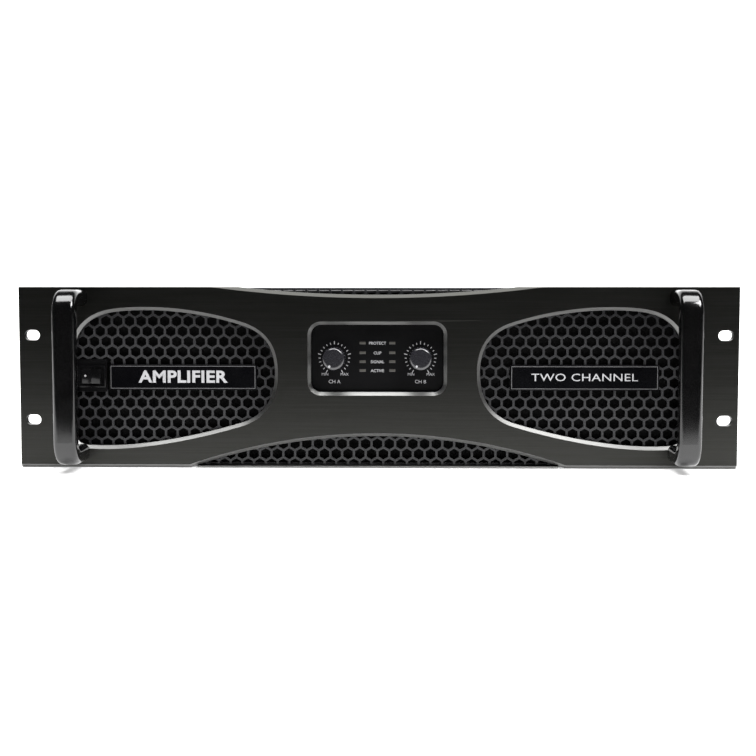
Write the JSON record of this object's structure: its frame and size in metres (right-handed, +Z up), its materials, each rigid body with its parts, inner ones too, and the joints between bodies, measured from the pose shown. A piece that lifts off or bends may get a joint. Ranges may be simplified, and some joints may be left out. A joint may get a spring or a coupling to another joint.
{
  "type": "rack-mount power amplifier",
  "caption": "Rack-mount two-channel power amplifier with arched brushed front, leaf-shaped grille windows, handles, level knobs, finned channels and fan-cooled rear.",
  "frame": {"origin": "middle of the bounding box in plan, at the underside", "axes": "+X to the right seen from the front, +Y to the rear, +Z up; the front panel faces -Y"},
  "size_m": [0.4826, 0.449, 0.122],
  "materials": {
    "brushed_panel": "dark anodised, horizontally brushed",
    "grille_black": "satin black powder coat",
    "filter_foam": "open-cell black foam",
    "nameplate": "gloss black with a thin light border",
    "handle_black": "satin black",
    "switch_black": "semi-gloss moulded",
    "control_black": "matt black with printed scales",
    "knob_black": "matt moulded, white dot",
    "indicator_lens": "unlit translucent lens",
    "chassis_paint": "fine-textured black powder coat",
    "zinc_steel": "zinc plated",
    "winding": "amber film wrapped over copper on an iron core",
    "circuit_board": "green solder mask",
    "component_black": "moulded epoxy",
    "capacitor_sleeve": "shrink sleeve with a light stripe",
    "heatsink_aluminium": "extruded, natural",
    "fan_plastic": "moulded",
    "guard_wire": "bright plated",
    "connector_black": "moulded",
    "button_red": "moulded",
    "cap_red": "moulded",
    "cap_black": "moulded"
  },
  "bodies": {
    "chassis": {"front_panel": "brushed_panel", "lower_trim": "brushed_panel", "dust_filter": "filter_foam", "grille": "grille_black", "nameplate_left": "nameplate", "nameplate_right": "nameplate", "handle_left": "handle_black", "handle_right": "handle_black", "power_switch_body": "switch_black", "control_panel": "control_black", "control_board": "circuit_board", "chassis_pan": "chassis_paint", "top_cover": "chassis_paint", "rear_panel": "chassis_paint", "transformer": "winding", "transformer_plate": "zinc_steel", "transformer_bolt": "zinc_steel", "supply_board": "circuit_board", "rectifier": "component_black", "input_board": "circuit_board", "post_block": "connector_black", "mains_inlet": "connector_black", "breaker_body": "connector_black", "mode_switch_body": "zinc_steel", "capacitor_1": "capacitor_sleeve", "capacitor_2": "capacitor_sleeve", "capacitor_3": "capacitor_sleeve", "capacitor_4": "capacitor_sleeve", "gain_pot_a": "zinc_steel", "light_pipe_a": "indicator_lens", "heatsink_a": "heatsink_aluminium", "transistor_bar_a": "component_black", "amp_board_a": "circuit_board", "fan_frame_a": "fan_plastic", "fan_guard_a": "guard_wire", "input_socket_a": "connector_black", "output_socket_a": "connector_black", "gain_pot_b": "zinc_steel", "light_pipe_b": "indicator_lens", "heatsink_b": "heatsink_aluminium", "transistor_bar_b": "component_black", "amp_board_b": "circuit_board", "fan_frame_b": "fan_plastic", "fan_guard_b": "guard_wire", "input_socket_b": "connector_black", "output_socket_b": "connector_black"},
    "gain_a": {"gain_knob_a": "knob_black", "gain_shaft_a": "zinc_steel"},
    "gain_b": {"gain_knob_b": "knob_black", "gain_shaft_b": "zinc_steel"},
    "rocker": {"power_rocker": "switch_black"},
    "rotor_a": {"fan_rotor_a": "fan_plastic"},
    "rotor_b": {"fan_rotor_b": "fan_plastic"},
    "breaker_plunger": {"breaker_button": "button_red"},
    "mode_lever": {"mode_slider": "connector_black"},
    "cap_1": {"post_cap_1": "cap_red"},
    "cap_2": {"post_cap_2": "cap_black"},
    "cap_3": {"post_cap_3": "cap_red"},
    "cap_4": {"post_cap_4": "cap_black"}
  },
  "joints": [
    {"name": "gain_a_turn", "type": "hinge", "parent": "chassis", "child": "gain_a", "pos_m": [-0.0291, -0.18655, 0.074], "axis": [0, 1, 0], "range_deg": [0, 300]},
    {"name": "gain_b_turn", "type": "hinge", "parent": "chassis", "child": "gain_b", "pos_m": [0.0291, -0.18655, 0.074], "axis": [0, 1, 0], "range_deg": [0, 300]},
    {"name": "power_rock", "type": "hinge", "parent": "chassis", "child": "rocker", "pos_m": [-0.1938, -0.18055, 0.0615], "axis": [0, 0, 1], "range_deg": [0, 20]},
    {"name": "fan_a_spin", "type": "hinge", "parent": "chassis", "child": "rotor_a", "pos_m": [-0.14, 0.18845, 0.06], "axis": [0, 1, 0], "continuous": true},
    {"name": "fan_b_spin", "type": "hinge", "parent": "chassis", "child": "rotor_b", "pos_m": [0.14, 0.18845, 0.06], "axis": [0, 1, 0], "continuous": true},
    {"name": "post_cap_1_turn", "type": "hinge", "parent": "chassis", "child": "cap_1", "pos_m": [0.0245, 0.21545, 0.036], "axis": [0, 1, 0], "range_deg": [0, 1080]},
    {"name": "post_cap_2_turn", "type": "hinge", "parent": "chassis", "child": "cap_2", "pos_m": [0.0055, 0.21545, 0.036], "axis": [0, 1, 0], "range_deg": [0, 1080]},
    {"name": "post_cap_3_turn", "type": "hinge", "parent": "chassis", "child": "cap_3", "pos_m": [-0.0135, 0.21545, 0.036], "axis": [0, 1, 0], "range_deg": [0, 1080]},
    {"name": "post_cap_4_turn", "type": "hinge", "parent": "chassis", "child": "cap_4", "pos_m": [-0.0325, 0.21545, 0.036], "axis": [0, 1, 0], "range_deg": [0, 1080]},
    {"name": "breaker_trip", "type": "slide", "parent": "chassis", "child": "breaker_plunger", "axis": [0, 1, 0], "range_m": [0, 0.003]},
    {"name": "mode_slide", "type": "slide", "parent": "chassis", "child": "mode_lever", "axis": [1, 0, 0], "range_m": [0, 0.006]}
  ]
}
